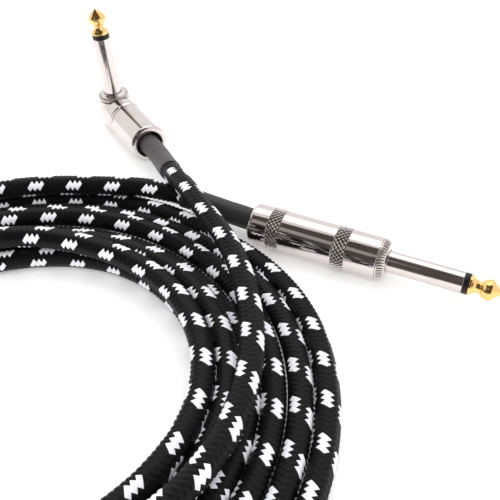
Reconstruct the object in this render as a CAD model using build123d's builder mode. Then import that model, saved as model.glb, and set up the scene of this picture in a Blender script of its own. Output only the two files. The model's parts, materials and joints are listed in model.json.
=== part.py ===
from build123d import *

import os
from math import cos, pi, radians, sin, tan

# Instrument cable: a straight and a right-angled quarter-inch mono jack plug on a braided cable
# that lies in a loose coil. Millimetres, +Z up, the floor at z = 0. The origin is on the floor,
# under the middle of the two plugs, and +X runs along the straight plug's shaft to its tip.

# Standard jack shaft, measured from the plane where it leaves the plug
SHAFT_RADIUS = 6.35 / 2
SHANK_RADIUS = 2.9
SLEEVE_LENGTH = 21.3
TIP_START = SLEEVE_LENGTH + 1.6
TIP_END = 31.8
TIP_RADIUS = 3.1
RIM_RADIUS = 3.0
BALL_PLACE = 28.4
NECK_PLACE = 26.2
NECK_RADIUS = 1.95
RIM_LENGTH = 0.7
POINT_RADIUS = 0.5
CONE_HALF_ANGLE = 42.0

# Fits inside the plugs
SLIP = 0.05
ROD_RADIUS = 1.2
SLEEVE_BORE = 2.05
SPIGOT_RADIUS = 5.3
SPIGOT_LENGTH = 6.1
CHAMBER_RADIUS = 4.7
BARREL_RADIUS = 6.35
BARREL_BORE = 5.35
LINER_RADIUS = 5.25
LINER_BORE = 4.75
END_WALL = 2.3
REAR_HOLE = 4.75
EDGE = 1.4

# Serrated rings
NUT_RADIUS = 6.2
COLLAR_RADIUS = 4.1
TOOTH_RADIUS = 0.24
TOOTH_COUNT = 40

# Cable
CORD_RADIUS = 3.15
CABLE_END_RADIUS = 3.1
RELIEF_RADIUS = 3.5
RELIEF_START = 27.0
CABLE_START = 20.0
CLAMP_BACK = CABLE_START + 4
PAD_BACK = CABLE_START - 2
CORE_RADIUS = 1.0
CORE_LENGTH = 5.0
WIRE_RADIUS = 0.35

# Straight plug, lying on its barrel
STRAIGHT_BASE = (47.4, -20.9, BARREL_RADIUS)
STRAIGHT_SEAM = 2.2
STRAIGHT_END = 42.0
STRAIGHT_RELIEF_END = (-20.6, -18.6, BARREL_RADIUS)

# Right-angled plug, lying on its barrel and rolled a little, so that the shaft leans from upright.
# Its elbow is an upright cylinder, with a foot below the barrel's axis and a seat for the collar.
ANGLE_BARREL_RADIUS = 6.9
ANGLE_PLACE = (-73.2, 21.2, ANGLE_BARREL_RADIUS)
ANGLE_TURN = -33.6
ANGLE_ROLL = 4.3
SHAFT_RISE = 7.95
SEAT_RISE = 5.55
ELBOW_RADIUS = 5.7
ELBOW_BACK = 1.5
ELBOW_FOOT = 6.2
SEAT_RADIUS = 5.9
CHAMBER_DEPTH = 2.0
ANGLE_SEAM = 12.0
ANGLE_END = 31.0

# Coil of eight loose turns, two to three layers high, and the corners of the stretches that leave it
COIL_CENTRE = (-22.6, -102.4)
COIL_INNER = 45.2
COIL_OUTER = 78.45
COIL_HEIGHT = 16.6
STRAIGHT_LEAD_CORNERS = [(-32.6, -17.97, 6.35), (-51.6, -25.9, 8.5), (-67.6, -41.9, 9.0), (-78.6, -60.9, 9.0)]
ANGLE_RELIEF_CORNER = 43.5
ANGLE_RELIEF_RUN = 15.0
ANGLE_LEAD_CORNERS = [(-21.9, -20.3, 14.5), (-5.6, -32.9, 16.3), (10.8, -46.4, 15.8), (22.4, -59.9, 14.3)]

# The direction in which the cable leaves the right-angled plug, and that in which its shaft rises
LEAVING = Vector(cos(radians(ANGLE_TURN)), sin(radians(ANGLE_TURN)), 0)
RISING = Vector(
    LEAVING.Y * sin(radians(ANGLE_ROLL)), -LEAVING.X * sin(radians(ANGLE_ROLL)), cos(radians(ANGLE_ROLL))
)

# Each section plane holds one axis of revolution: its x runs along the axis, towards the tip,
# or away from the cable, and its y is the distance from the axis.
STRAIGHT = Plane(origin=STRAIGHT_BASE, x_dir=(1, 0, 0), z_dir=(0, -1, 0))
ANGLE_SEAT = Plane(origin=ANGLE_PLACE, x_dir=LEAVING, z_dir=RISING)
ANGLE_SHAFT = Plane(
    origin=ANGLE_SEAT.origin + RISING * SHAFT_RISE, x_dir=RISING, z_dir=RISING.cross(LEAVING)
)
ANGLE_BARREL = Plane(origin=ANGLE_PLACE, x_dir=-LEAVING, z_dir=RISING.cross(LEAVING))


def across(section, place):
    """The plane square to a section's axis, at a place along it, with the same y."""
    return Plane(
        origin=section.origin + section.x_dir * place, x_dir=-section.z_dir, z_dir=section.x_dir
    )


def revolve_outline(section, outline, mode=Mode.ADD):
    """Revolve a closed outline of (along, radius) points about the section's axis."""
    with BuildSketch(section) as profile:
        with BuildLine():
            Polyline(*outline, close=True)
        make_face()
    revolve(profile.sketch, axis=Axis(section.origin, section.x_dir), mode=mode)


def ring(section, start, end, bore, radius, mode=Mode.ADD):
    """A plain ring or tube between two places on the axis."""
    revolve_outline(section, [(start, bore), (end, bore), (end, radius), (start, radius)], mode)


def tip(section, rod_end):
    """Gold tip: a rod through the shaft, a rim, a neck, a ball and a blunt point, in one piece."""
    point = TIP_END - POINT_RADIUS
    slope = radians(CONE_HALF_ANGLE)
    with BuildSketch(section) as profile:
        with BuildLine():
            Polyline(
                (rod_end, 0),
                (rod_end, ROD_RADIUS),
                (TIP_START, ROD_RADIUS),
                (TIP_START, RIM_RADIUS),
                (TIP_START + RIM_LENGTH, RIM_RADIUS),
            )
            ThreePointArc(
                (TIP_START + RIM_LENGTH, RIM_RADIUS), (24.6, 2.3), (NECK_PLACE, NECK_RADIUS)
            )
            ThreePointArc((NECK_PLACE, NECK_RADIUS), (27.1, 2.35), (BALL_PLACE, TIP_RADIUS))
            cone = Line(
                (BALL_PLACE, TIP_RADIUS),
                (point + POINT_RADIUS * sin(slope), POINT_RADIUS * cos(slope)),
            )
            ThreePointArc(
                cone @ 1,
                (point + POINT_RADIUS * cos(slope / 2), POINT_RADIUS * sin(slope / 2)),
                (TIP_END, 0),
            )
            Line((TIP_END, 0), (rod_end, 0))
        make_face()
    revolve(profile.sketch, axis=Axis(section.origin, section.x_dir))


def tip_insulator(section, back):
    """Black ring between sleeve and tip, with the tube that lines the sleeve."""
    bore = ROD_RADIUS + SLIP
    outline = [
        (back, bore),
        (TIP_START, bore),
        (TIP_START, RIM_RADIUS),
        (SLEEVE_LENGTH, RIM_RADIUS),
        (SLEEVE_LENGTH, SLEEVE_BORE - SLIP),
        (back, SLEEVE_BORE - SLIP),
    ]
    revolve_outline(section, outline)


def sleeve(section, back):
    """Sleeve contact: the shaft that a socket takes, and a thinner shank that is riveted in the plug."""
    outline = [
        (-back, SLEEVE_BORE),
        (SLEEVE_LENGTH, SLEEVE_BORE),
        (SLEEVE_LENGTH, SHAFT_RADIUS),
        (0, SHAFT_RADIUS),
        (0, SHANK_RADIUS),
        (-back, SHANK_RADIUS),
    ]
    revolve_outline(section, outline)


def serrated_ring(section, start, bore, radius, length, count):
    """A grip ring with round grooves along its rim."""
    with BuildSketch(across(section, start)) as rim:
        Circle(radius)
        with PolarLocations(radius, count):
            Circle(TOOTH_RADIUS, mode=Mode.SUBTRACT)
        Circle(bore, mode=Mode.SUBTRACT)
    extrude(rim.sketch, amount=length)


def barrel(section, radius, seam, end):
    """Screw-on barrel: a shell with a wall at the cable's end, where the cable has some room."""
    outline = [
        (-seam, BARREL_BORE),
        (-seam, radius - 0.2),
        (-seam - 0.2, radius),
        (-end + EDGE, radius),
        (-end + EDGE * 0.3, radius - EDGE * 0.3),
        (-end, radius - EDGE),
        (-end, REAR_HOLE),
        (-end + END_WALL, REAR_HOLE),
        (-end + END_WALL, BARREL_BORE),
    ]
    revolve_outline(section, outline)


def cable_clamp(section, front):
    """Ground tail under the cable, with a solder pad and a half-round clamp."""
    with BuildSketch(across(section, -CLAMP_BACK)) as tail:
        with Locations((0, -4.1)):
            Rectangle(3.0, 0.6)
    extrude(tail.sketch, amount=CLAMP_BACK - front)
    with BuildSketch(across(section, -PAD_BACK)) as pad:
        with Locations((0, -3.44)):
            Rectangle(1.6, 0.74)
    extrude(pad.sketch, amount=2)
    with BuildSketch(across(section, -CLAMP_BACK)) as clamp:
        Circle(3.9)
        Circle(CABLE_END_RADIUS + SLIP, mode=Mode.SUBTRACT)
        with Locations((0, 3)):
            Rectangle(9, 8, mode=Mode.SUBTRACT)
    extrude(clamp.sketch, amount=CLAMP_BACK - CABLE_START)


def cable_core(section):
    """White insulated core, stripped out of the cable's end."""
    ring(section, -CABLE_START, -CABLE_START + CORE_LENGTH, WIRE_RADIUS + 0.02, CORE_RADIUS)


def core_wire(section, end):
    """Bare copper conductor through the core to the tip terminal."""
    ring(section, -CABLE_START, -end, 0, WIRE_RADIUS)


def shield_wire(section):
    """Twisted shield, from the cable's end to the pad of the ground tail."""
    with BuildSketch(across(section, -CABLE_START)) as twist:
        with Locations((0, -2.55)):
            Circle(0.5)
    extrude(twist.sketch, amount=4)


def corner_radii(points):
    """The largest arc that each corner's two runs leave room for."""
    radii = []
    for before, corner, after in zip(points, points[1:], points[2:]):
        arriving = Vector(corner) - Vector(before)
        leaving = Vector(after) - Vector(corner)
        half_turn = radians(arriving.get_angle(leaving)) / 2
        radii.append(0.45 * min(arriving.length, leaving.length) / tan(half_turn))
    return radii


def swept_tube(points, radius, bore=0.0):
    """A round tube along straight runs joined by tangent arcs. Returns its route's length."""
    with BuildLine() as route:
        FilletPolyline(*points, radius=corner_radii(points))
    with BuildSketch(Plane(origin=route.line @ 0, z_dir=route.line % 0)) as end:
        Circle(radius)
        if bore:
            Circle(bore, mode=Mode.SUBTRACT)
    sweep(end.sketch, path=route.wires()[0])
    return route.wires()[0].length


# --- straight plug -------------------------------------------------------------------------

BODY_BACK = STRAIGHT_SEAM + SPIGOT_LENGTH
TAIL_BACK = CABLE_START - CORE_LENGTH - 0.2
WASHER_BACK = BODY_BACK + 0.8
SLEEVE_BACK = WASHER_BACK + 0.2
INSULATOR_BACK = SLEEVE_BACK + 1.0

# The cable is straight in the clamp, and goes on at a slight angle behind it.
straight_cable_start = STRAIGHT.origin - STRAIGHT.x_dir * CABLE_START
straight_clamp_back = STRAIGHT.origin - STRAIGHT.x_dir * CLAMP_BACK
straight_run = Vector(*STRAIGHT_RELIEF_END) - straight_clamp_back
STRAIGHT_CABLE = Plane(
    origin=straight_clamp_back, x_dir=-straight_run, z_dir=-straight_run.cross(Vector(0, 0, 1))
)
STRAIGHT_LEAD = [STRAIGHT_RELIEF_END, *STRAIGHT_LEAD_CORNERS]

with BuildPart() as straight_tip:
    tip(STRAIGHT, -INSULATOR_BACK - 1.1)

with BuildPart() as straight_tip_insulator:
    tip_insulator(STRAIGHT, -SLEEVE_BACK)

with BuildPart() as straight_sleeve:
    sleeve(STRAIGHT, SLEEVE_BACK)

with BuildPart() as straight_body:
    revolve_outline(
        STRAIGHT,
        [
            (0, SHANK_RADIUS + SLIP),
            (0, COLLAR_RADIUS),
            (-STRAIGHT_SEAM, COLLAR_RADIUS),
            (-STRAIGHT_SEAM, SPIGOT_RADIUS),
            (-BODY_BACK, SPIGOT_RADIUS),
            (-BODY_BACK, SHANK_RADIUS + SLIP),
        ],
    )

with BuildPart() as straight_nut:
    serrated_ring(STRAIGHT, -STRAIGHT_SEAM, COLLAR_RADIUS + SLIP, NUT_RADIUS, STRAIGHT_SEAM, TOOTH_COUNT)

with BuildPart() as straight_ground_terminal:
    ring(STRAIGHT, -WASHER_BACK, -BODY_BACK, SHANK_RADIUS + SLIP, 4.5)
    cable_clamp(STRAIGHT, BODY_BACK)

with BuildPart() as straight_rear_insulator:
    ring(STRAIGHT, -INSULATOR_BACK, -SLEEVE_BACK, ROD_RADIUS + SLIP, 3.0)

with BuildPart() as straight_tip_terminal:
    ring(STRAIGHT, -INSULATOR_BACK - 0.6, -INSULATOR_BACK, ROD_RADIUS + SLIP, 2.6)
    with BuildSketch(across(STRAIGHT, -TAIL_BACK)):
        with Locations((0, 0.67)):
            Rectangle(2.0, 0.6)
    extrude(amount=TAIL_BACK - INSULATOR_BACK - 1.2)
    with BuildSketch(across(STRAIGHT, -INSULATOR_BACK - 1.8)):
        with Locations((0, 1.5)):
            Rectangle(2.0, 2.26)
    extrude(amount=0.6)
    with BuildSketch(across(STRAIGHT, -INSULATOR_BACK - 1.8)):
        with Locations((0, 2.2)):
            Rectangle(2.0, 0.8)
    extrude(amount=1.8)

with BuildPart() as straight_cable_core:
    cable_core(STRAIGHT)

with BuildPart() as straight_core_wire:
    core_wire(STRAIGHT, INSULATOR_BACK + 2)

with BuildPart() as straight_shield_wire:
    shield_wire(STRAIGHT)

with BuildPart() as straight_cable_end:
    swept_tube([straight_cable_start, straight_clamp_back, STRAIGHT_RELIEF_END], CABLE_END_RADIUS)

with BuildPart() as straight_strain_relief:
    relief_bore = CABLE_END_RADIUS + SLIP
    ring(STRAIGHT_CABLE, -straight_run.length, CLAMP_BACK - RELIEF_START, relief_bore, RELIEF_RADIUS)

with BuildPart() as straight_liner:
    ring(STRAIGHT, -STRAIGHT_END + END_WALL + 1, -BODY_BACK - 0.6, LINER_BORE, LINER_RADIUS)

with BuildPart() as straight_barrel:
    barrel(STRAIGHT, BARREL_RADIUS, STRAIGHT_SEAM, STRAIGHT_END)

# --- right-angled plug ---------------------------------------------------------------------

SHAFT_BACK = 4.0
REAR_BACK = SHAFT_BACK + 0.9
relief_corner = ANGLE_BARREL.origin + LEAVING * ANGLE_RELIEF_CORNER
relief_run = Vector(*ANGLE_LEAD_CORNERS[0]) - relief_corner
relief_end = relief_corner + relief_run.normalized() * ANGLE_RELIEF_RUN
ANGLE_CABLE_ROUTE = [ANGLE_BARREL.origin + LEAVING * CABLE_START, relief_corner, relief_end]
ANGLE_RELIEF_ROUTE = [ANGLE_BARREL.origin + LEAVING * RELIEF_START, relief_corner, relief_end]
ANGLE_LEAD = [relief_end, *ANGLE_LEAD_CORNERS]

with BuildPart() as angle_tip:
    tip(ANGLE_SHAFT, -REAR_BACK - 1.2)

with BuildPart() as angle_tip_insulator:
    tip_insulator(ANGLE_SHAFT, -SHAFT_BACK)

with BuildPart() as angle_sleeve:
    sleeve(ANGLE_SHAFT, SHAFT_BACK)

with BuildPart() as angle_collar:
    seat = SEAT_RISE - SHAFT_RISE
    serrated_ring(ANGLE_SHAFT, seat, SHANK_RADIUS + SLIP, 5.6, 1.8, 36)
    ring(ANGLE_SHAFT, seat + 1.8, 0, SHANK_RADIUS + SLIP, COLLAR_RADIUS)

with BuildPart() as angle_elbow:
    revolve_outline(
        ANGLE_BARREL,
        [
            (ELBOW_BACK, 0),
            (ELBOW_BACK, ANGLE_BARREL_RADIUS - EDGE),
            (ELBOW_BACK - EDGE, ANGLE_BARREL_RADIUS),
            (-ANGLE_SEAM + 0.2, ANGLE_BARREL_RADIUS),
            (-ANGLE_SEAM, ANGLE_BARREL_RADIUS - 0.2),
            (-ANGLE_SEAM, SPIGOT_RADIUS),
            (-ANGLE_SEAM - SPIGOT_LENGTH, SPIGOT_RADIUS),
            (-ANGLE_SEAM - SPIGOT_LENGTH, 0),
        ],
    )
    with BuildSketch(ANGLE_SEAT.offset(-ELBOW_FOOT)):
        Circle(ELBOW_RADIUS)
    extrude(amount=ELBOW_FOOT + SEAT_RISE)
    with BuildSketch(ANGLE_SEAT.offset(SEAT_RISE)):
        Circle(SEAT_RADIUS)
    extrude(amount=ANGLE_BARREL_RADIUS - SEAT_RISE + 1, mode=Mode.SUBTRACT)
    with BuildSketch(across(ANGLE_BARREL, -ANGLE_SEAM - SPIGOT_LENGTH)):
        Circle(CHAMBER_RADIUS)
    extrude(amount=ANGLE_SEAM + SPIGOT_LENGTH + CHAMBER_DEPTH, mode=Mode.SUBTRACT)
    with BuildSketch(ANGLE_SEAT):
        Circle(SHANK_RADIUS + SLIP)
    extrude(amount=ANGLE_BARREL_RADIUS, mode=Mode.SUBTRACT)

with BuildPart() as angle_rear_insulator:
    ring(ANGLE_SHAFT, -REAR_BACK, -SHAFT_BACK, ROD_RADIUS + SLIP, 2.8)

with BuildPart() as angle_tip_terminal:
    ring(ANGLE_SHAFT, -REAR_BACK - 0.6, -REAR_BACK, ROD_RADIUS + SLIP, 2.2)
    with BuildSketch(ANGLE_SEAT.offset(SHAFT_RISE - REAR_BACK - 0.6)):
        with Locations((5.2, 0)):
            Rectangle(6.6, 2.0)
    extrude(amount=0.6)
    with BuildSketch(across(ANGLE_BARREL, -8.5)):
        with Locations((0, 1.46)):
            Rectangle(2.0, 2.18)
    extrude(amount=0.6)

with BuildPart() as angle_ground_terminal:
    cable_clamp(ANGLE_BARREL, 4.0)

with BuildPart() as angle_cable_core:
    cable_core(ANGLE_BARREL)

with BuildPart() as angle_core_wire:
    core_wire(ANGLE_BARREL, 7.4)

with BuildPart() as angle_shield_wire:
    shield_wire(ANGLE_BARREL)

with BuildPart() as angle_cable_end:
    swept_tube(ANGLE_CABLE_ROUTE, CABLE_END_RADIUS)

with BuildPart() as angle_strain_relief:
    swept_tube(ANGLE_RELIEF_ROUTE, RELIEF_RADIUS, CABLE_END_RADIUS + SLIP)

with BuildPart() as angle_liner:
    ring(
        ANGLE_BARREL,
        -ANGLE_END + END_WALL + 0.6,
        -ANGLE_SEAM - SPIGOT_LENGTH - 0.6,
        LINER_BORE,
        LINER_RADIUS,
    )

with BuildPart() as angle_barrel:
    barrel(ANGLE_BARREL, ANGLE_BARREL_RADIUS, ANGLE_SEAM, ANGLE_END)

# --- cable ---------------------------------------------------------------------------------

with BuildPart() as cable_lead_straight:
    straight_lead_length = swept_tube(STRAIGHT_LEAD, CORD_RADIUS)

with BuildPart() as cable_lead_angle:
    angle_lead_length = swept_tube(ANGLE_LEAD, CORD_RADIUS)

# The heap of turns: a vertical foot, then slopes that follow the layers up and over
with BuildPart() as cable_coil:
    with BuildSketch(Plane(origin=(*COIL_CENTRE, 0), x_dir=(1, 0, 0), z_dir=(0, -1, 0))):
        with BuildLine():
            Polyline(
                (COIL_INNER, 0),
                (COIL_OUTER, 0),
                (COIL_OUTER, CORD_RADIUS),
                (77.2, 5.6),
                (70, 8.5),
                (63.5, 14),
                (60, COIL_HEIGHT),
                (54, COIL_HEIGHT),
                (47.5, 14.2),
                (COIL_INNER, 11),
                close=True,
            )
        make_face()
    revolve(axis=Axis((*COIL_CENTRE, 0), (0, 0, 1)))

NODES = {
    "straight_tip": straight_tip,
    "straight_tip_insulator": straight_tip_insulator,
    "straight_sleeve": straight_sleeve,
    "straight_body": straight_body,
    "straight_nut": straight_nut,
    "straight_ground_terminal": straight_ground_terminal,
    "straight_rear_insulator": straight_rear_insulator,
    "straight_tip_terminal": straight_tip_terminal,
    "straight_cable_core": straight_cable_core,
    "straight_core_wire": straight_core_wire,
    "straight_shield_wire": straight_shield_wire,
    "straight_cable_end": straight_cable_end,
    "straight_strain_relief": straight_strain_relief,
    "straight_liner": straight_liner,
    "straight_barrel": straight_barrel,
    "angle_tip": angle_tip,
    "angle_tip_insulator": angle_tip_insulator,
    "angle_sleeve": angle_sleeve,
    "angle_collar": angle_collar,
    "angle_elbow": angle_elbow,
    "angle_rear_insulator": angle_rear_insulator,
    "angle_tip_terminal": angle_tip_terminal,
    "angle_ground_terminal": angle_ground_terminal,
    "angle_cable_core": angle_cable_core,
    "angle_core_wire": angle_core_wire,
    "angle_shield_wire": angle_shield_wire,
    "angle_cable_end": angle_cable_end,
    "angle_strain_relief": angle_strain_relief,
    "angle_liner": angle_liner,
    "angle_barrel": angle_barrel,
    "cable_lead_straight": cable_lead_straight,
    "cable_lead_angle": cable_lead_angle,
    "cable_coil": cable_coil,
}

for node, built in NODES.items():
    built.part.label = node
    export_step(built.part, f"parts/{node}.step")

for name, points, length, built in (
    ("cable_lead_straight", STRAIGHT_LEAD, straight_lead_length, cable_lead_straight),
    ("cable_lead_angle", ANGLE_LEAD, angle_lead_length, cable_lead_angle),
):
    print(name, "arc radii", [round(radius, 1) for radius in corner_radii(points)])
    print(name, "volume", round(built.part.volume, 1))
    print(name, "section x length", round(pi * CORD_RADIUS**2 * length, 1))
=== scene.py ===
import json
from math import cos, pi, radians, sin

import bmesh
import bpy
import numpy as np
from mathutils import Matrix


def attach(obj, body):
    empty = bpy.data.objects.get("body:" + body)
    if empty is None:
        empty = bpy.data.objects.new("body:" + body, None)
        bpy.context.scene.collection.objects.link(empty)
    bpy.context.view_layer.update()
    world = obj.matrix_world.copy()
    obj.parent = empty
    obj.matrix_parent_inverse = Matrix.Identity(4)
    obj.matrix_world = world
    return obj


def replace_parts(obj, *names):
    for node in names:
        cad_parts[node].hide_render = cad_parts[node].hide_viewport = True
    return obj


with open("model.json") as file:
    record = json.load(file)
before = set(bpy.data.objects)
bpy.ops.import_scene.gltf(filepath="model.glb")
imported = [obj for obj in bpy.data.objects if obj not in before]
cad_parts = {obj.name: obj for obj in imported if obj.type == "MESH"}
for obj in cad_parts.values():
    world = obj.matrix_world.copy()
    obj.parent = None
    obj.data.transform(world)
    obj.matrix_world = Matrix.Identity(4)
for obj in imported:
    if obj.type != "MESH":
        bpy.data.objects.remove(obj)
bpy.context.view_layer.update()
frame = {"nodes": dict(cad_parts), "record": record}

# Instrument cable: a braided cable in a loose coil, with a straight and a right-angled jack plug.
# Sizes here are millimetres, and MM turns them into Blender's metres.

MM = 0.001
ROOT = "cable_and_plugs"

# Camera
CAMERA_PLACE = (75.16, -169.28, 129.47)
CAMERA_AZIMUTH = 25.61
CAMERA_DEPRESSION = 39.255
LENS = 48.42
SENSOR = 36.0

# Studio
ROOM_LEAN = -0.14
ROOM_HALF_WIDTH = 0.72
ROOM_EDGE = 12.0
ROOM_DARK = (0.078, 0.068, 0.064, 1)
ROOM_STRENGTH = 1.02
AMBIENT_STRENGTH = 1.0
FLOOR_REACH = 4.0
FLOOR_GLOW = 0.22

# Jack shaft, measured from the plane where it leaves the plug, as in the CAD model
SHAFT_RADIUS = 3.175
SHANK_RADIUS = 2.9
SLEEVE_LENGTH = 21.3
SLEEVE_BORE = 2.05
TIP_START = 22.9
TIP_END = 31.8
RIM_RADIUS = 3.0
NECK_PLACE = 25.7
NECK_RADIUS = 1.7
BALL_PLACE = 28.2
BALL_RADIUS = 3.05
ROD_RADIUS = 1.2

# Plug bodies
BARREL_RADIUS = 6.35
BARREL_BORE = 5.35
REAR_HOLE = 4.75
END_WALL = 2.3
SPIGOT_RADIUS = 5.3
SPIGOT_LENGTH = 6.1
CHAMBER_RADIUS = 4.7
CHAMBER_DEPTH = 2.0
COLLAR_RADIUS = 4.1
STRAIGHT_SEAM = 2.2
STRAIGHT_END = 42.0
ANGLE_BARREL_RADIUS = 6.9
ANGLE_SEAM = 12.0
ANGLE_END = 31.0
SEAT_RISE = 5.55
ELBOW_RADIUS = 5.7
ELBOW_BACK = 1.5
ELBOW_FOOT = 6.2
BARREL_EDGE = 1.35
ROUND_INSET = 0.2929

# Knurling: the shares are of a diamond's height, and the cells are mesh columns for each diamond.
KNURL_BANDS = ((-35.9, -31.7), (-15.5, -11.2))
KNURL_COUNT = 30
KNURL_PITCH = 1.4
KNURL_DEPTH = 0.36
KNURL_SLOPE = 1.35
KNURL_FADE = 0.15
KNURL_CELLS = 12
# Faces deeper than this share of the knurl's depth get the painted shade.
GROOVE_SHARE = 0.6

# Serrated rings: the half widths are shares of the distance from one groove to the next; SHADE_HALF is the
# half width of the painted shade in each groove.
NUT_TEETH = 44
NUT_TEETH_START = -1.77
COLLAR_TEETH = 40
TOOTH_DEPTH = 0.3
TOOTH_CELLS = 12
TOOTH_INNER = 4.6
GROOVE_HALF = 0.26
SHADE_HALF = 0.19

# Cable. The braid's lead, turn and twist are fitted to the flecks that the photo shows. Each
# relief's end is a distance along the cable, from the end that is inside its plug.
CORD_RADIUS = 3.0
YARN_HEIGHT = 0.27
BRAID_LEAD = 12.081
CARRIERS = 8
BRAID_TURN = 81.0
BRAID_TWIST = 414.0
YARN_CELLS = 3
WHITE_YARNS = 3
TANGENT_REACH = 0.8
CABLE_START = 20.0
RELIEF_START = 27.0
RELIEF_RADIUS = 3.5
RELIEF_WALL = 0.28
RELIEF_STEP = 0.25
RELIEF_COLUMNS = 96
STRAIGHT_RELIEF_END = 48.0
ANGLE_RELIEF_END = 39.0
ROD_PAST_SLEEVE = 2.1
COIL_CENTRE = (-22.6, -102.4)
COIL_STEP = 15

# The route from the straight plug: its points up to the coil, the turns as (angle, radius,
# height) stations round the coil's centre, and its points from the coil to the angled plug.
START = [
    (27.4, -20.9, 6.35), (23.4, -20.9, 6.35), (5.4, -19.95, 6.35), (-8.6, -19.2, 6.4), (-20.6, -18.8, 7.2),
    (-32, -21.8, 8.9),
]
TURNS = [
    [(105, 78.0, 9.2), (120, 77.2, 9.5), (190, 76.9, 9.4), (265, 77.8, 8.8), (300, 78.4, 7.4),
     (345, 77.6, 3.2)],
    [(20, 77.6, 3.2), (45, 78.4, 3.2), (60, 77.6, 3.2), (72, 76.0, 3.2), (82, 76.8, 3.2), (95, 78.4, 3.2),
     (130, 78.3, 3.2), (200, 77.4, 3.2), (265, 76.2, 3.2), (330, 71.8, 3.2)],
    [(20, 71.4, 3.2), (45, 71.9, 3.2), (80, 71.2, 3.2), (120, 71.0, 3.2), (170, 71.6, 3.2), (220, 71.0, 3.2),
     (265, 70.0, 3.2), (330, 65.5, 3.2)],
    [(20, 65.2, 3.2), (70, 65.2, 4.6), (90, 65.0, 5.8), (125, 65.1, 6.0), (170, 65.0, 4.4), (265, 63.8, 3.2),
     (330, 59.2, 3.2)],
    [(20, 59.1, 3.2), (70, 58.8, 3.2), (130, 58.8, 3.2), (245, 57.4, 3.2), (300, 54.6, 6.2), (340, 54.0, 7.4)],
    [(20, 54.4, 8.0), (60, 54.2, 7.4), (95, 53.8, 6.4), (125, 53.7, 6.4), (160, 53.6, 7.0), (220, 53.4, 7.4),
     (290, 50.4, 3.6), (340, 49.0, 3.2)],
    [(20, 48.8, 3.2), (50, 49.8, 3.2), (90, 50.3, 3.2), (125, 48.9, 3.2), (160, 48.0, 3.6), (225, 48.0, 9.6),
     (270, 48.2, 10.4), (340, 48.2, 10.2)],
    [(20, 48.9, 9.6), (50, 48.0, 9.4), (76, 47.6, 9.5), (92, 47.2, 10.1), (107, 47.7, 10.4), (121, 49.5, 10.6),
     (150, 50.0, 11.6), (190, 49.8, 13.4), (230, 52.0, 14.2), (330, 55.5, 13.8)],
    [(0, 58.0, 14.0), (14, 58.8, 14.0), (28, 60.0, 14.0), (46, 62.2, 14.4), (62, 66.2, 15.6)],
]
END = [
    (-6.2, -32.5, 16.4), (-14.8, -25.7, 16.0), (-22.5, -19.3, 14.3), (-30.6, -11.2, 10.6), (-38.8, -2.5, 7.6),
    (-48.2, 4.6, 6.9), (-56.54, 10.13, 6.9),
]

# Where the plugs lie, from the frame's mounts and joints
mounts = {mount["name"]: mount for mount in frame["record"]["mounts"]}
joints = {joint["name"]: joint for joint in frame["record"]["behaviour"]["joints"]}


def plug_axes(side):
    """Where a plug's shaft leaves it and which way it points, then the same of its barrel."""
    pin, screw = mounts[f"{side}_plug"], joints[f"{side}_barrel_turn"]
    rising = np.array(pin["axis"])
    base = np.array(pin["pos_m"]) / MM - rising * SLEEVE_LENGTH / 2
    return base, rising, np.array(screw["pos_m"]) / MM, np.array(screw["axis"])


# A section is (origin, direction towards the tip or away from the cable, up or sideways).
straight_base, forward, _, _ = plug_axes("straight")
shaft_base, RISING, barrel_place, LEAVING = plug_axes("angle")
STRAIGHT = (straight_base, forward, np.array([0, 0, 1.0]))
ANGLE_SHAFT = (shaft_base, RISING, LEAVING)
ANGLE_SEAT = (barrel_place, RISING, LEAVING)
ANGLE_BARREL = (barrel_place, -LEAVING, RISING)
SEAT_DROP = SEAT_RISE - np.linalg.norm(shaft_base - barrel_place)


# --- camera and light ------------------------------------------------------------------------


def make_camera():
    """A camera where the photograph was taken from, with its view."""
    data = bpy.data.cameras.new("camera")
    data.sensor_width = SENSOR
    data.lens = LENS
    data.clip_start = 0.01
    camera = bpy.data.objects.new("camera", data)
    bpy.context.scene.collection.objects.link(camera)
    camera.location = [x * MM for x in CAMERA_PLACE]
    camera.rotation_euler = (radians(90 - CAMERA_DEPRESSION), 0, radians(CAMERA_AZIMUTH))
    bpy.context.scene.camera = camera


def make_light(name, place, target, size, watts):
    """A soft square lamp that shines from one point towards another."""
    data = bpy.data.lights.new(name, "AREA")
    data.shape = "RECTANGLE"
    data.size, data.size_y = size
    data.energy = watts
    lamp = bpy.data.objects.new(name, data)
    bpy.context.scene.collection.objects.link(lamp)
    lamp.location = place
    away = lamp.location - type(lamp.location)(target)
    lamp.rotation_euler = away.to_track_quat("Z", "Y").to_euler()
    return lamp


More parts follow.
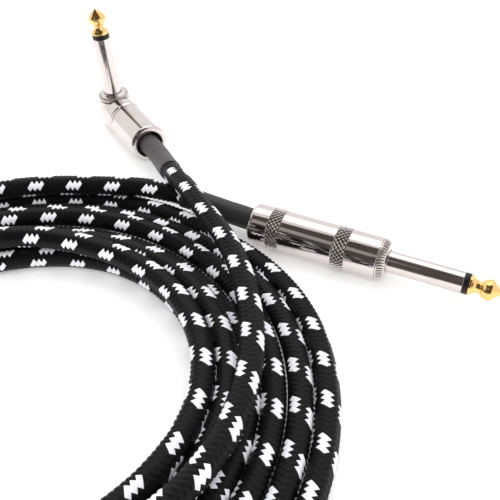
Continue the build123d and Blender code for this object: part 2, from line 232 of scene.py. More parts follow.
def make_world():
    """A white studio. Glossy surfaces see its dark front half, with white walls at both sides."""
    world = bpy.data.worlds.new("studio")
    bpy.context.scene.world = world
    world.use_nodes = True
    nodes, links = world.node_tree.nodes, world.node_tree.links
    nodes.clear()

    def calculate(operation, first, second, third=None):
        """The output of a math node. Its inputs are numbers or other nodes' outputs."""
        node = nodes.new("ShaderNodeMath")
        node.operation = operation
        for socket, value in zip(node.inputs, (first, second, third)):
            if isinstance(value, (int, float)):
                socket.default_value = value
            elif value is not None:
                links.new(value, socket)
        return node.outputs[0]

    place = nodes.new("ShaderNodeTexCoord")
    split = nodes.new("ShaderNodeSeparateXYZ")
    links.new(place.outputs["Generated"], split.inputs[0])
    behind = calculate("MULTIPLY_ADD", split.outputs["Z"], ROOM_LEAN, split.outputs["Y"])
    sideways = calculate("ABSOLUTE", split.outputs["X"], None)
    beside = calculate("SUBTRACT", sideways, ROOM_HALF_WIDTH)
    pale = calculate("MULTIPLY_ADD", calculate("MAXIMUM", behind, beside), ROOM_EDGE, 0.5)
    ramp = nodes.new("ShaderNodeValToRGB")
    ramp.color_ramp.elements[0].color = ROOM_DARK
    ramp.color_ramp.elements[1].color = (1, 1, 1, 1)
    links.new(pale, ramp.inputs[0])
    room = nodes.new("ShaderNodeBackground")
    links.new(ramp.outputs[0], room.inputs[0])
    room.inputs[1].default_value = ROOM_STRENGTH
    white = nodes.new("ShaderNodeBackground")
    white.inputs[0].default_value = (1, 1, 1, 1)
    white.inputs[1].default_value = AMBIENT_STRENGTH
    path = nodes.new("ShaderNodeLightPath")
    mix = nodes.new("ShaderNodeMixShader")
    links.new(path.outputs["Is Glossy Ray"], mix.inputs[0])
    links.new(white.outputs[0], mix.inputs[1])
    links.new(room.outputs[0], mix.inputs[2])
    output = nodes.new("ShaderNodeOutputWorld")
    links.new(mix.outputs[0], output.inputs[0])


# --- materials -------------------------------------------------------------------------------


def material(name, colour, roughness, metallic=0.0, **plain):
    """A Principled material with plain values. Returns it with its nodes, links and shader."""
    made = bpy.data.materials.new(name)
    made.use_nodes = True
    nodes, links = made.node_tree.nodes, made.node_tree.links
    shader = nodes["Principled BSDF"]
    shader.inputs["Base Color"].default_value = (*colour, 1)
    shader.inputs["Roughness"].default_value = roughness
    shader.inputs["Metallic"].default_value = metallic
    for socket, value in plain.items():
        shader.inputs[socket.replace("_", " ")].default_value = value
    return made, nodes, links, shader


def noise(nodes, links, scale, stretch=(1, 1, 1), detail=4.0, source="Object"):
    """A noise texture in the model's own coordinates, or along a piece's UVs."""
    place = nodes.new("ShaderNodeTexCoord")
    mapping = nodes.new("ShaderNodeMapping")
    mapping.inputs["Scale"].default_value = stretch
    links.new(place.outputs[source], mapping.inputs["Vector"])
    texture = nodes.new("ShaderNodeTexNoise")
    texture.inputs["Scale"].default_value = scale
    texture.inputs["Detail"].default_value = detail
    links.new(mapping.outputs["Vector"], texture.inputs["Vector"])
    return texture.outputs["Fac"]


def between(nodes, links, factor, low, high):
    """The factor, spread over a range of values."""
    spread = nodes.new("ShaderNodeMapRange")
    spread.inputs["From Min"].default_value = 0.3
    spread.inputs["From Max"].default_value = 0.7
    spread.inputs["To Min"].default_value = low
    spread.inputs["To Max"].default_value = high
    links.new(factor, spread.inputs["Value"])
    return spread.outputs["Result"]


def blended(nodes, links, factor, first, second):
    """Two colours mixed by a factor."""
    ramp = nodes.new("ShaderNodeValToRGB")
    ramp.color_ramp.elements[0].position = 0.3
    ramp.color_ramp.elements[0].color = (*first, 1)
    ramp.color_ramp.elements[1].position = 0.7
    ramp.color_ramp.elements[1].color = (*second, 1)
    links.new(factor, ramp.inputs[0])
    return ramp.outputs[0]


def bump(nodes, links, shader, factor, strength, distance):
    """Shallow relief on a shader, with its distance in millimetres."""
    node = nodes.new("ShaderNodeBump")
    node.inputs["Strength"].default_value = strength
    node.inputs["Distance"].default_value = distance * MM
    links.new(factor, node.inputs["Height"])
    links.new(node.outputs["Normal"], shader.inputs["Normal"])


def metal(name, first, second, roughness, turned=0.0):
    """Plated metal: a slow change of tone, smudges in the gloss, and fine marks left by turning."""
    made, nodes, links, shader = material(name, first, roughness, 1.0)
    tone = noise(nodes, links, 90, detail=2)
    links.new(blended(nodes, links, tone, first, second), shader.inputs["Base Color"])
    smudge = noise(nodes, links, 260, detail=5)
    gloss = between(nodes, links, smudge, roughness * 0.7, roughness * 1.4)
    links.new(gloss, shader.inputs["Roughness"])
    if turned:
        marks = noise(nodes, links, 1.0, (6, 260, 1), 3, "UV")
        bump(nodes, links, shader, marks, turned, 0.02)
    return made


def plastic(name, first, second, roughness, grain, depth=0.02, **plain):
    """Moulded plastic or rubber: a fine grain, with tone and gloss that change slowly."""
    made, nodes, links, shader = material(name, first, roughness, **plain)
    tone = noise(nodes, links, 160, detail=3)
    links.new(blended(nodes, links, tone, first, second), shader.inputs["Base Color"])
    gloss = between(nodes, links, tone, roughness * 0.85, roughness * 1.15)
    links.new(gloss, shader.inputs["Roughness"])
    bump(nodes, links, shader, noise(nodes, links, grain, detail=6), 0.35, depth)
    return made


def yarn(name, colour, roughness, **plain):
    """Braided yarn: filaments run along each float, and the colour is plain."""
    made, nodes, links, shader = material(name, colour, roughness, **plain)
    filaments = noise(nodes, links, 1.0, (1.2, 7.0, 1), 3, "UV")
    gloss = between(nodes, links, filaments, roughness * 0.8, roughness * 1.2)
    links.new(gloss, shader.inputs["Roughness"])
    bump(nodes, links, shader, filaments, 0.5, 0.12)
    return made


# --- mesh helpers ----------------------------------------------------------------------------


def place_mesh(name, mesh, body, finish, *materials):
    """A new piece from a mesh in metres, on its body and with its materials. Its finish is not used."""
    piece = bpy.data.objects.new(name, mesh)
    bpy.context.scene.collection.objects.link(piece)
    for made in materials:
        mesh.materials.append(made)
    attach(piece, body)
    return piece


def ring_mesh(name, rings, closed):
    """A smooth mesh through rings of points, each with the same number of them. Closed joins the
    last ring to the first."""
    rows, columns = len(rings), len(rings[0])
    points = np.array(rings).reshape(-1, 3) * MM
    last = rows if closed else rows - 1
    quads, uvs = [], []
    for i in range(last):
        below, above = i * columns, (i + 1) % rows * columns
        for k in range(columns):
            after = (k + 1) % columns
            quads.append((below + k, below + after, above + after, above + k))
            u, w = k / columns, (k + 1) / columns
            v, t = i / last, (i + 1) / last
            uvs += [(u, v), (w, v), (w, t), (u, t)]
    mesh = bpy.data.meshes.new(name)
    mesh.from_pydata(points.tolist(), [], quads)
    layer = mesh.uv_layers.new(name="along")
    layer.data.foreach_set("uv", np.array(uvs, np.float32).ravel())
    work = bmesh.new()
    work.from_mesh(mesh)
    bmesh.ops.remove_doubles(work, verts=work.verts, dist=1e-7)
    bmesh.ops.recalc_face_normals(work, faces=work.faces)
    work.to_mesh(mesh)
    work.free()
    mesh.shade_smooth()
    return mesh


def soften(outline, size, closed):
    """The outline with each sharp corner turned into a small round one."""
    points = [np.array(p, float) for p in outline]
    count, out = len(points), []
    for i, corner in enumerate(points):
        if not closed and i in (0, count - 1):
            out.append(corner)
            continue
        back, ahead = points[i - 1] - corner, points[(i + 1) % count] - corner
        long_back, long_ahead = np.linalg.norm(back), np.linalg.norm(ahead)
        cosine = back @ ahead / (long_back * long_ahead)
        if cosine < -0.9:
            out.append(corner)
            continue
        cut = min(size, 0.4 * long_back, 0.4 * long_ahead)
        first, last = corner + back / long_back * cut, corner + ahead / long_ahead * cut
        for t in (0, 0.25, 0.5, 0.75, 1):
            out.append((1 - t) ** 2 * first + 2 * t * (1 - t) * corner + t * t * last)
    return out


def arc(start, middle, end, steps=10):
    """Points on the circle through three points, without the start."""
    a, b, c = (complex(*p) for p in (start, middle, end))
    ax, ay, bx, by, cx, cy = *start, *middle, *end
    d = 2 * (ax * (by - cy) + bx * (cy - ay) + cx * (ay - by))
    ux = ((ax**2 + ay**2) * (by - cy) + (bx**2 + by**2) * (cy - ay) + (cx**2 + cy**2) * (ay - by)) / d
    uy = ((ax**2 + ay**2) * (cx - bx) + (bx**2 + by**2) * (ax - cx) + (cx**2 + cy**2) * (bx - ax)) / d
    centre = complex(ux, uy)
    turn = np.angle((c - centre) / (a - centre))
    half = np.angle((b - centre) / (a - centre))
    if half * turn < 0 or abs(half) > abs(turn):
        turn -= np.sign(turn) * 2 * pi
    spun = [centre + (a - centre) * np.exp(1j * turn * k / steps) for k in range(1, steps + 1)]
    return [(p.real, p.imag) for p in spun]


def lathe(name, section, outline, columns=128, shape=None, closed=True):
    """A mesh of an outline of (along, radius) points, turned about a section's axis. A shape
    function, where there is one, changes each radius."""
    origin, axis, side = section
    third = np.cross(axis, side)
    angles = 2 * pi * np.arange(columns) / columns
    rings = []
    for along, radius in outline:
        radii = np.full(columns, float(radius))
        if shape is not None:
            radii = shape(along, radii, angles)
        out = np.outer(np.cos(angles), side) + np.outer(np.sin(angles), third)
        rings.append(origin + axis * along + out * radii[:, None])
    return ring_mesh(name, rings, closed)


def crisp(piece):
    """Keeps flat faces flat under smooth shading."""
    weighted = piece.modifiers.new("weighted", "WEIGHTED_NORMAL")
    weighted.weight = 60
    weighted.keep_sharp = True
    return piece


# --- cable -----------------------------------------------------------------------------------


def coil_points():
    """Points round the coil, from its turns' stations, a little outside the line that they steer."""
    stations = [(360 * turn + angle, r, z) for turn, row in enumerate(TURNS) for angle, r, z in row]
    outside = 2 / (1 + cos(radians(COIL_STEP / 2)))
    points, k = [], 0
    for angle in range(stations[0][0], stations[-1][0] + 1, COIL_STEP):
        while k < len(stations) - 2 and stations[k + 1][0] < angle:
            k += 1
        (a, r, z), (b, far, high) = stations[k], stations[k + 1]
        share = (angle - a) / (b - a)
        share = share * share * (3 - 2 * share)
        radius = (r + (far - r) * share) * outside
        x, y = COIL_CENTRE
        turned = radians(angle)
        points.append((x + radius * cos(turned), y + radius * sin(turned), z + (high - z) * share))
    return points


def route_line():
    """Points read from the NURBS spline that has the route's points as its control points."""
    controls = START + coil_points() + END
    curve = bpy.data.curves.new("route", "CURVE")
    curve.dimensions = "3D"
    curve.resolution_u = 12
    spline = curve.splines.new("NURBS")
    spline.points.add(len(controls) - 1)
    for point, place in zip(spline.points, controls):
        point.co = (*(x * MM for x in place), 1)
    spline.order_u = 3
    spline.use_endpoint_u = True
    holder = bpy.data.objects.new("route", curve)
    mesh = bpy.data.meshes.new_from_object(holder)
    line = np.array([v.co for v in mesh.vertices]) / MM
    bpy.data.meshes.remove(mesh)
    bpy.data.objects.remove(holder)
    bpy.data.curves.remove(curve)
    return line


def stations_along(line, places):
    """Centre, and two directions across without twist, at each place along a line."""
    along = np.concatenate([[0], np.cumsum(np.linalg.norm(np.diff(line, axis=0), axis=1))])
    centres = np.stack([np.interp(places, along, line[:, k]) for k in range(3)], axis=1)
    ahead = np.stack([np.interp(places + TANGENT_REACH, along, line[:, k]) for k in range(3)], axis=1)
    behind = np.stack([np.interp(places - TANGENT_REACH, along, line[:, k]) for k in range(3)], axis=1)
    tangents = ahead - behind
    tangents /= np.linalg.norm(tangents, axis=1)[:, None]
    side = np.cross(tangents[0], (0, 0, 1.0))
    sides = np.empty_like(centres)
    for i, tangent in enumerate(tangents):
        side = side - (side @ tangent) * tangent
        side /= np.linalg.norm(side)
        sides[i] = side
    return centres, sides, np.cross(tangents, sides)


def float_height(across, along):
    """How proud a yarn stands within one float, from 0 to 1."""
    return np.sin(pi * across) ** 0.6 * np.sin(pi * along) ** 0.45


def make_cord(line, black, white):
    """The braid: two families of yarns wound opposite ways, each over two and under two. Three yarns
    side by side of one family are white, and they show as flecks where they pass over."""
    length = np.linalg.norm(np.diff(line, axis=0), axis=1).sum()
    rise = BRAID_LEAD / (2 * CARRIERS * YARN_CELLS)
    rings = int(length / rise) + 1
    around = CARRIERS * YARN_CELLS
    centres, sides, ups = stations_along(line, np.arange(rings) * rise)
    ring, step = np.meshgrid(np.arange(rings), np.arange(around), indexing="ij")
    shift = 2 * step + ring % 2
    first = (shift + ring) / (2 * YARN_CELLS)
    second = (shift - ring) / (2 * YARN_CELLS)
    i, j = np.floor(first + 1e-9), np.floor(second + 1e-9)
    over = (i + j) % 4 < 2
    tall = np.where(
        over,
        float_height(first - i, np.clip((i + second) % 4 / 2, 0, 1)),
        float_height(second - j, np.clip((j + first - 2) % 4 / 2, 0, 1)),
    )
    tall = np.nan_to_num(tall)
    turn = 2 * pi * shift / (2 * CARRIERS * YARN_CELLS)
    turn = turn + radians(BRAID_TURN) + radians(BRAID_TWIST) * ring / rings
    out = np.cos(turn)[..., None] * sides[:, None] + np.sin(turn)[..., None] * ups[:, None]
    points = centres[:, None] + out * (CORD_RADIUS - YARN_HEIGHT / 2 + YARN_HEIGHT * tall)[..., None]

    # One diamond of the lattice stands on each point of the inner rings.
    ring, step = ring[1:-1], step[1:-1]
    odd = ring % 2
    left, right = ring * around + step, ring * around + (step + 1) % around
    other = (step + odd) % around
    quads = np.stack([left, (ring - 1) * around + other, right, (ring + 1) * around + other], axis=-1)
    middle = 2 * step + odd + 1
    a, b = (middle + ring) / (2 * YARN_CELLS), (middle - ring) / (2 * YARN_CELLS)
    i, j = np.floor(a), np.floor(b)
    over = (i + j) % 4 < 2
    pale = over & (i % CARRIERS < WHITE_YARNS)

    # Each face's UVs run along its yarn in u and across it in v.
    half = 0.5 / YARN_CELLS
    corner_a = a[..., None] + half * np.array([-1, -1, 1, 1])
    corner_b = b[..., None] + half * np.array([-1, 1, 1, -1])
    u = np.where(over[..., None], corner_b, corner_a)
    v = np.where(over[..., None], corner_a, corner_b)

    caps = []
    flat = points.reshape(-1, 3)
    ends = [(0, 1, centres[0]), (rings - 1, rings - 2, centres[-1])]
    flat = np.concatenate([flat, [end[2] for end in ends]])
    for n, (edge, inner, _) in enumerate(ends):
        hub = rings * around + n
        for k in range(around):
            near = edge * around + k
            if edge % 2 == 0:
                before, after = inner * around + (k - 1) % around, inner * around + k
            else:
                before, after = inner * around + k, inner * around + (k + 1) % around
            caps += [(hub, before, near), (hub, near, after)]
    faces = [tuple(q) for q in quads.reshape(-1, 4).tolist()] + caps

    mesh = bpy.data.meshes.new("cord")
    mesh.from_pydata((flat * MM).tolist(), [], faces)
    layer = mesh.uv_layers.new(name="yarn")
    uv = np.stack([u, v], axis=-1).reshape(-1, 2)
    uv = np.concatenate([uv, np.zeros((3 * len(caps), 2))]).astype(np.float32)
    layer.data.foreach_set("uv", uv.ravel())
    slots = np.concatenate([pale.ravel(), np.zeros(len(caps), bool)]).astype(np.int32)
    mesh.polygons.foreach_set("material_index", slots)
    work = bmesh.new()
    work.from_mesh(mesh)
    bmesh.ops.recalc_face_normals(work, faces=work.faces)
    work.to_mesh(mesh)
    work.free()
    mesh.shade_smooth()
    cord = place_mesh("cord", mesh, ROOT, "braid", black, white)
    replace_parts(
        cord, "cable_lead_straight", "cable_coil", "cable_lead_angle", "straight_cable_end", "angle_cable_end"
    )
    return cord, centres, length


# --- plugs -----------------------------------------------------------------------------------


def make_tip(name, section, rod_end, gold):
    """A rod, a rim that curves in to the neck, a round ball and a sharp cone."""
    rim_end = TIP_START + 0.6
    rim_back, rim_front = (TIP_START, RIM_RADIUS - 0.1), (rim_end - 0.1, RIM_RADIUS)
    outline = [(-rod_end, 0), (-rod_end, ROD_RADIUS), (TIP_START, ROD_RADIUS), rim_back]
    outline += arc(rim_back, (TIP_START + 0.04, RIM_RADIUS - 0.02), (TIP_START + 0.12, RIM_RADIUS), 4)
    outline.append(rim_front)
    outline += arc(rim_front, (rim_end, RIM_RADIUS - 0.04), (rim_end + 0.08, RIM_RADIUS - 0.16), 4)
    outline += arc(outline[-1], (24.35, 2.12), (NECK_PLACE - 0.35, NECK_RADIUS + 0.02), 14)
    outline += arc(outline[-1], (NECK_PLACE, NECK_RADIUS), (NECK_PLACE + 0.3, NECK_RADIUS + 0.08), 5)
    outline += arc(outline[-1], (26.9, 2.62), (BALL_PLACE, BALL_RADIUS), 14)
    shoulder = (BALL_PLACE + 0.75, BALL_RADIUS - 0.16)
    outline += arc((BALL_PLACE, BALL_RADIUS), (BALL_PLACE + 0.4, BALL_RADIUS - 0.03), shoulder, 8)
    outline += arc(shoulder, (30.35, 1.62), (TIP_END - 0.18, 0.2), 14)
    outline += arc(outline[-1], (TIP_END - 0.05, 0.11), (TIP_END, 0), 4)
    mesh = lathe(name, section, outline, 96, closed=False)
    return crisp(place_mesh(name, mesh, ROOT, "gold", gold))


def make_tip_insulator(name, section, back, black):
    """A ring behind the tip, with a tube round the rod inside the sleeve."""
    bore, out = ROD_RADIUS + 0.05, SLEEVE_BORE - 0.05
    outline = [
        (-back, bore), (TIP_START, bore), (TIP_START, RIM_RADIUS),
        (SLEEVE_LENGTH, RIM_RADIUS), (SLEEVE_LENGTH, out), (-back, out),
    ]
    mesh = lathe(name, section, soften(outline, 0.12, True), 96)
    return crisp(place_mesh(name, mesh, ROOT, "black_insulator", black))


def make_sleeve(name, section, back, nickel):
    """The shaft's tube, with a thinner shank inside the plug."""
    outline = [
        (-back, SLEEVE_BORE), (SLEEVE_LENGTH, SLEEVE_BORE), (SLEEVE_LENGTH, SHAFT_RADIUS),
        (0, SHAFT_RADIUS), (0, SHANK_RADIUS), (-back, SHANK_RADIUS),
    ]
    mesh = lathe(name, section, soften(outline, 0.16, True), 128)
    return crisp(place_mesh(name, mesh, ROOT, "nickel", nickel))


def knurl(along, radii, angles):
    """Diamond knurling on the barrel's two bands."""
    for start, end in KNURL_BANDS:
        if start < along < end and radii[0] > BARREL_RADIUS - 0.01:
            run = (along - start) / KNURL_PITCH
            turn = KNURL_COUNT * angles / (2 * pi)
            u, v = (turn + run) % 1, (turn - run) % 1
            tall = 1 - 2 * np.maximum(abs(u - 0.5), abs(v - 0.5))
            fade = min(1, (along - start) / KNURL_FADE, (end - along) / KNURL_FADE)
            return radii - KNURL_DEPTH * fade * (1 - np.minimum(KNURL_SLOPE * tall, 1))
    return radii


def barrel_outline(radius, seam, end, bands=()):
    """The shell of a barrel, from its rear hole over the outside to the front and back inside."""
    edge, corner = BARREL_EDGE, BARREL_EDGE * ROUND_INSET
    outline = [(-end + 0.6, REAR_HOLE), (-end + 0.15, REAR_HOLE + 0.08), (-end, REAR_HOLE + 0.2)]
    outline.append((-end, radius - edge))
    outline += arc((-end, radius - edge), (-end + corner, radius - corner), (-end + edge, radius), 8)
    for low, high in bands:
        count = int((high - low) / (KNURL_PITCH / KNURL_CELLS))
        outline += [(low + (high - low) * k / count, radius) for k in range(count + 1)]
    outline += [
        (-seam - 0.25, radius), (-seam - 0.08, radius - 0.07), (-seam, radius - 0.25),
        (-seam, BARREL_BORE + 0.1), (-seam - 0.1, BARREL_BORE),
        (-end + END_WALL, BARREL_BORE), (-end + END_WALL, REAR_HOLE),
    ]
    return outline


def make_straight_barrel(shell, groove):
    """The knurled barrel, with a darker material in the bottom of the knurling as painted shade."""
    outline = barrel_outline(BARREL_RADIUS, STRAIGHT_SEAM, STRAIGHT_END, KNURL_BANDS)
    mesh = lathe("straight_barrel_shell", STRAIGHT, outline, KNURL_COUNT * KNURL_CELLS, knurl)
    piece = place_mesh("straight_barrel_shell", mesh, "straight_barrel", "nickel_shell", shell, groove)
    origin, axis, _ = STRAIGHT
    # Faces deep in the knurling get the dark metal: painted shade in the knurl's hollows.
    for face in mesh.polygons:
        place = np.array(face.center) / MM - origin
        along = place @ axis
        depth = BARREL_RADIUS - np.linalg.norm(place - along * axis)
        if GROOVE_SHARE * KNURL_DEPTH < depth < BARREL_RADIUS - BARREL_BORE - 0.1:
            face.material_index = int(any(low < along < high for low, high in KNURL_BANDS))
    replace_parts(crisp(piece), "straight_barrel")


def make_angle_barrel(shell):
    """The plain barrel of the angled plug."""
    outline = barrel_outline(ANGLE_BARREL_RADIUS, ANGLE_SEAM, ANGLE_END)
    mesh = lathe("angle_barrel_shell", ANGLE_BARREL, outline, 160)
    piece = crisp(place_mesh("angle_barrel_shell", mesh, "angle_barrel", "nickel_shell", shell))
    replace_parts(piece, "angle_barrel")


def teeth(count, start, end):
    """Narrow grooves across the rim of a ring, between two places on its axis."""

    def cut(along, radii, angles):
        """The ring's radii at one place on its axis."""
        if not start <= along <= end or radii[0] < TOOTH_INNER:
            return radii
        apart = abs((count * angles / (2 * pi)) % 1 - 0.5)
        return radii - TOOTH_DEPTH * np.clip(1 - apart / GROOVE_HALF, 0, 1)

    return cut


def shade_grooves(piece, section, count, start, end, least):
    """The second material, a painted shade, on the faces inside a ring's grooves."""
    origin, axis, side = section
    third = np.cross(axis, side)
    for face in piece.data.polygons:
        place = np.array(face.center) / MM - origin
        along, turn = place @ axis, np.arctan2(place @ third, place @ side) / (2 * pi)
        out = np.linalg.norm(place - along * axis)
        inside = abs((count * turn) % 1 - 0.5) < SHADE_HALF
        face.material_index = int(inside and start < along < end and out > least)


def make_straight_nut(nickel, groove):
    """The serrated nut: a narrow rim, and a bevel that the grooves run down."""
    back, bore = -STRAIGHT_SEAM + 0.02, COLLAR_RADIUS + 0.05
    outline = [
        (back, 5.4), (back, 6.12), (back + 0.1, 6.24), (back + 0.3, 6.24), (back + 0.4, 6.14),
        (-1.75, 6.18), (-1.4, 6.02), (-1.0, 5.82), (-0.6, 5.6), (-0.25, 5.38), (-0.06, 5.2), (0.02, 5.0),
        (0.12, 4.6), (0.2, 4.2), (0.24, 3.75), (0.15, 3.5), (0.02, 3.5), (0.02, bore), (back, bore),
    ]
    grooves = teeth(NUT_TEETH, NUT_TEETH_START, -0.2)
    mesh = lathe("straight_nut_ring", STRAIGHT, outline, NUT_TEETH * TOOTH_CELLS, grooves)
    piece = crisp(place_mesh("straight_nut_ring", mesh, ROOT, "nickel", nickel, groove))
    shade_grooves(piece, STRAIGHT, NUT_TEETH, NUT_TEETH_START, -0.25, 5.0)
    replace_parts(piece, "straight_nut")


def make_straight_body(nickel):
    """The body inside the barrel: a collar that carries the nut, and the spigot."""
    back = STRAIGHT_SEAM + SPIGOT_LENGTH
    bore = SHANK_RADIUS + 0.05
    outline = [
        (0, bore), (0, COLLAR_RADIUS), (-STRAIGHT_SEAM, COLLAR_RADIUS), (-STRAIGHT_SEAM, SPIGOT_RADIUS),
        (-back, SPIGOT_RADIUS), (-back, bore),
    ]
    mesh = lathe("straight_body_spigot", STRAIGHT, soften(outline, 0.12, True), 128)
    piece = crisp(place_mesh("straight_body_spigot", mesh, ROOT, "nickel", nickel))
    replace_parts(piece, "straight_body")


def make_angle_collar(nickel, groove):
    """The serrated collar on the elbow's seat, round the shaft."""
    seat, bore = SEAT_DROP, SHANK_RADIUS + 0.05
    outline = [
        (seat, bore), (0, bore), (0, 3.9), (-0.2, COLLAR_RADIUS), (seat + 1.85, COLLAR_RADIUS),
        (seat + 1.8, 4.5), (seat + 1.78, 4.9), (seat + 1.7, 5.3), (seat + 1.5, 5.55), (seat + 1.2, 5.6),
        (seat + 0.5, 5.6), (seat + 0.2, 5.5), (seat, 5.2),
    ]
    low, high = seat + 0.1, seat + 1.79
    grooves = teeth(COLLAR_TEETH, low, high)
    mesh = lathe("angle_collar_ring", ANGLE_SHAFT, outline, COLLAR_TEETH * TOOTH_CELLS, grooves)
    piece = crisp(place_mesh("angle_collar_ring", mesh, ROOT, "nickel", nickel, groove))
    shade_grooves(piece, ANGLE_SHAFT, COLLAR_TEETH, low, high, 4.8)
    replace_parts(piece, "angle_collar")


def combined(mesh, steps):
    """A mesh after boolean steps, each an operation and the mesh that it takes."""
    piece = bpy.data.objects.new("combined", mesh)
    bpy.context.scene.collection.objects.link(piece)
    tools = []
    for operation, other in steps:
        tool = bpy.data.objects.new("tool", other)
        bpy.context.scene.collection.objects.link(tool)
        modifier = piece.modifiers.new(operation, "BOOLEAN")
        modifier.operation = operation
        modifier.object = tool
        modifier.solver = "EXACT"
        tools.append(tool)
    evaluated = piece.evaluated_get(bpy.context.evaluated_depsgraph_get())
    joined = bpy.data.meshes.new_from_object(evaluated)
    for helper in [piece, *tools]:
        bpy.data.objects.remove(helper)
    return joined


def make_elbow(shell):
    """An upright cylinder that the barrel's spigot grows out of, with a flat seat for the collar."""
    radius, end = ANGLE_BARREL_RADIUS, -ANGLE_SEAM - SPIGOT_LENGTH
    outline = [(ELBOW_BACK, 0), (ELBOW_BACK, radius - 1.4)]
    middle = (ELBOW_BACK - 0.41, radius - 0.41)
    outline += arc(outline[-1], middle, (ELBOW_BACK - 1.4, radius), 8)

    # A shallow cove runs round just before the seam.
    cove = [(2.1, 0), (1.9, 0.1), (1.5, 0.26), (1.1, 0.32), (0.7, 0.26), (0.3, 0.1), (0.12, 0), (0, 0.12)]
    outline += [(-ANGLE_SEAM + ahead, radius - drop) for ahead, drop in cove]
    outline += [
        (-ANGLE_SEAM, SPIGOT_RADIUS + 0.1), (-ANGLE_SEAM - 0.1, SPIGOT_RADIUS),
        (end + 0.2, SPIGOT_RADIUS), (end, SPIGOT_RADIUS - 0.2), (end, 0),
    ]
    body = lathe("body", ANGLE_BARREL, outline, 160, closed=False)
    foot = [(-ELBOW_FOOT, 0), (-ELBOW_FOOT, ELBOW_RADIUS - 0.9)]
    foot += arc(foot[-1], (-ELBOW_FOOT + 0.26, ELBOW_RADIUS - 0.26), (-ELBOW_FOOT + 0.9, ELBOW_RADIUS), 8)
    foot += [(SEAT_RISE - 0.2, ELBOW_RADIUS), (SEAT_RISE, ELBOW_RADIUS - 0.2), (SEAT_RISE, 0)]
    post = lathe("post", ANGLE_SEAT, foot, 128, closed=False)
    above = SEAT_RISE + 3
    pocket = [(SEAT_RISE, 0), (SEAT_RISE, ELBOW_RADIUS + 0.2), (above, ELBOW_RADIUS + 0.2), (above, 0)]
    spot = lathe("spot", ANGLE_SEAT, pocket, 128, closed=False)
    bore = [(CHAMBER_DEPTH, 0), (CHAMBER_DEPTH, CHAMBER_RADIUS), (end - 1, CHAMBER_RADIUS), (end - 1, 0)]
    chamber = lathe("chamber", ANGLE_BARREL, bore, 96, closed=False)
    hole = SHANK_RADIUS + 0.05
    drill = lathe("drill", ANGLE_SEAT, [(1, 0), (1, hole), (above, hole), (above, 0)], 96, closed=False)
    cuts = [("DIFFERENCE", spot), ("DIFFERENCE", chamber), ("DIFFERENCE", drill)]
    mesh = combined(body, [("UNION", post), *cuts])
    mesh.name = "angle_elbow_shell"
    mesh.materials.clear()
    mesh.shade_smooth()
    mesh.set_sharp_from_angle(angle=radians(40))
    piece = crisp(place_mesh("angle_elbow_shell", mesh, ROOT, "nickel_shell", shell))
    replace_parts(piece, "angle_elbow")


def make_relief(name, line, start, end, creases, rubber, node):
    """Heat-shrink sleeve: a thin tube on the cable's own line, with soft creases and rolled ends."""
    places = np.arange(start, end + 1e-6, RELIEF_STEP)
    centres, sides, ups = stations_along(line, places)
    angles = 2 * pi * np.arange(RELIEF_COLUMNS) / RELIEF_COLUMNS
    out = np.cos(angles)[None, :, None] * sides[:, None] + np.sin(angles)[None, :, None] * ups[:, None]
    rings = []
    inner = RELIEF_RADIUS - RELIEF_WALL
    for k, place in enumerate(places):
        near_end = min(place - start, end - place)
        lip = 0.25 * max(0.0, 1 - near_end / 0.75) ** 2
        radius = np.full(RELIEF_COLUMNS, RELIEF_RADIUS - lip)
        for middle, depth, width, lean in creases:
            centre = middle + lean * np.cos(angles)
            radius -= depth * np.exp(-(((place - centre) / width) ** 2))
        radius += 0.02 * np.sin(3 * angles + 0.35 * place) * sin(0.5 * place)
        rings.append(centres[k] + out[k] * radius[:, None])
    for k in reversed(range(len(places))):
        rings.append(centres[k] + out[k] * inner)
    mesh = ring_mesh(name, rings, True)
    piece = crisp(place_mesh(name, mesh, ROOT, "heat_shrink", rubber))
    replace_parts(piece, node)


# --- the scene -------------------------------------------------------------------------------

make_camera()
make_world()
bpy.context.scene.view_settings.view_transform = "Standard"

black_yarn = yarn("black_yarn", (0.005, 0.0045, 0.0045), 0.42, Specular_IOR_Level=0.16)
white_yarn = yarn("white_yarn", (0.94, 0.93, 0.99), 0.6, Specular_IOR_Level=0.3)
gold = metal("gold", (0.93, 0.58, 0.20), (0.98, 0.66, 0.28), 0.15, 0.05)
nickel = metal("nickel", (0.69, 0.63, 0.605), (0.74, 0.675, 0.65), 0.13, 0.04)
shell = metal("nickel_shell", (0.70, 0.64, 0.615), (0.75, 0.685, 0.66), 0.09, 0.05)
# Dark metal for the bottoms of the knurling and of the serrated grooves: painted shade in those hollows.
groove = metal("painted_groove_shade", (0.05, 0.045, 0.042), (0.08, 0.07, 0.066), 0.4)
tinned = metal("tinned_brass", (0.62, 0.60, 0.52), (0.72, 0.70, 0.64), 0.28)
copper = metal("copper", (0.80, 0.42, 0.26), (0.86, 0.50, 0.34), 0.25)
black_plastic = plastic(
    "black_insulator", (0.006, 0.006, 0.006), (0.01, 0.01, 0.011), 0.35, 2500, Specular_IOR_Level=0.3
)
liner_plastic = plastic("liner_plastic", (0.06, 0.06, 0.065), (0.09, 0.09, 0.095), 0.4, 1500)
insulation = plastic("core_insulation", (0.72, 0.72, 0.70), (0.82, 0.82, 0.80), 0.5, 1500)
dark_rubber = plastic("heat_shrink_dark", (0.016, 0.015, 0.016), (0.026, 0.024, 0.026), 0.5, 3200, 0.03)
# A lighter copy of the black heat-shrink for the angled plug's sleeve: painted light for the light that falls
# on that sleeve.
painted_lit_rubber = plastic("heat_shrink_painted_lit", (0.070, 0.059, 0.063), (0.092, 0.079, 0.084), 0.6, 3200, 0.03)

line = route_line()
cord, centres, cord_length = make_cord(line, black_yarn, white_yarn)

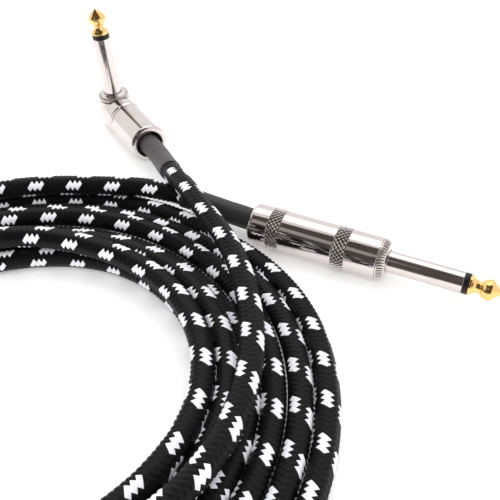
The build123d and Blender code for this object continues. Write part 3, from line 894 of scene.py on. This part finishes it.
relief_run = RELIEF_START - CABLE_START
make_relief(
    "straight_relief_sleeve", line, relief_run, STRAIGHT_RELIEF_END,
    [(24.5, 0.05, 0.4, 0.2), (31.5, 0.04, 0.7, -0.3)],
    dark_rubber, "straight_strain_relief",
)
make_relief(
    "angle_relief_sleeve", line, cord_length - ANGLE_RELIEF_END, cord_length - relief_run,
    [(cord_length - 22.4, 0.15, 0.35, 0.25), (cord_length - 29.0, 0.03, 1.2, -0.4)],
    painted_lit_rubber, "angle_strain_relief",
)

STRAIGHT_SLEEVE_BACK = STRAIGHT_SEAM + SPIGOT_LENGTH + 1.0
ANGLE_SHAFT_BACK = 4.0
for side, section, back in (
    ("straight", STRAIGHT, STRAIGHT_SLEEVE_BACK),
    ("angle", ANGLE_SHAFT, ANGLE_SHAFT_BACK),
):
    tip = make_tip(f"{side}_gold_tip", section, back + ROD_PAST_SLEEVE, gold)
    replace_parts(tip, f"{side}_tip")
    ring = make_tip_insulator(f"{side}_black_ring", section, back, black_plastic)
    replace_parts(ring, f"{side}_tip_insulator")
    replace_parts(make_sleeve(f"{side}_shaft", section, back, nickel), f"{side}_sleeve")
make_straight_barrel(shell, groove)
make_straight_nut(nickel, groove)
make_straight_body(nickel)
make_angle_barrel(shell)
make_angle_collar(nickel, groove)
make_elbow(shell)

FINISHES = {
    "ground_terminal": tinned,
    "tip_terminal": tinned,
    "rear_insulator": black_plastic,
    "cable_core": insulation,
    "core_wire": copper,
    "shield_wire": copper,
    "liner": liner_plastic,
}
for side in ("straight", "angle"):
    for part, finish in FINISHES.items():
        slots = frame["nodes"][f"{side}_{part}"].data.materials
        slots.clear()
        slots.append(finish)

# --- floor and lamps -------------------------------------------------------------------------

floor_mesh = bpy.data.meshes.new("floor")
corners = [(x * FLOOR_REACH, y * FLOOR_REACH, 0) for x, y in ((-1, -1), (1, -1), (1, 1), (-1, 1))]
floor_mesh.from_pydata(corners, [], [(0, 1, 2, 3)])
floor = bpy.data.objects.new("floor", floor_mesh)
bpy.context.scene.collection.objects.link(floor)
paper, nodes, links, shader = material("paper", (0.95, 0.95, 0.95), 0.9)
shader.inputs["Emission Color"].default_value = (1, 1, 1, 1)
shader.inputs["Emission Strength"].default_value = FLOOR_GLOW
bump(nodes, links, shader, noise(nodes, links, 900, detail=3), 0.1, 0.02)
floor_mesh.materials.append(paper)
make_light("overhead", (-0.2, 0.3, 0.9), (-0.01, -0.05, 0), (1.0, 0.8), 2.0)
fill = make_light("fill", (0.35, -0.8, 0.9), (0, -0.08, 0), (0.9, 0.9), 2.2)
fill.visible_glossy = False
make_light("strip", (-0.2, -0.56, 0.56), (0.02, -0.02, 0), (0.3, 0.22), 0.06)
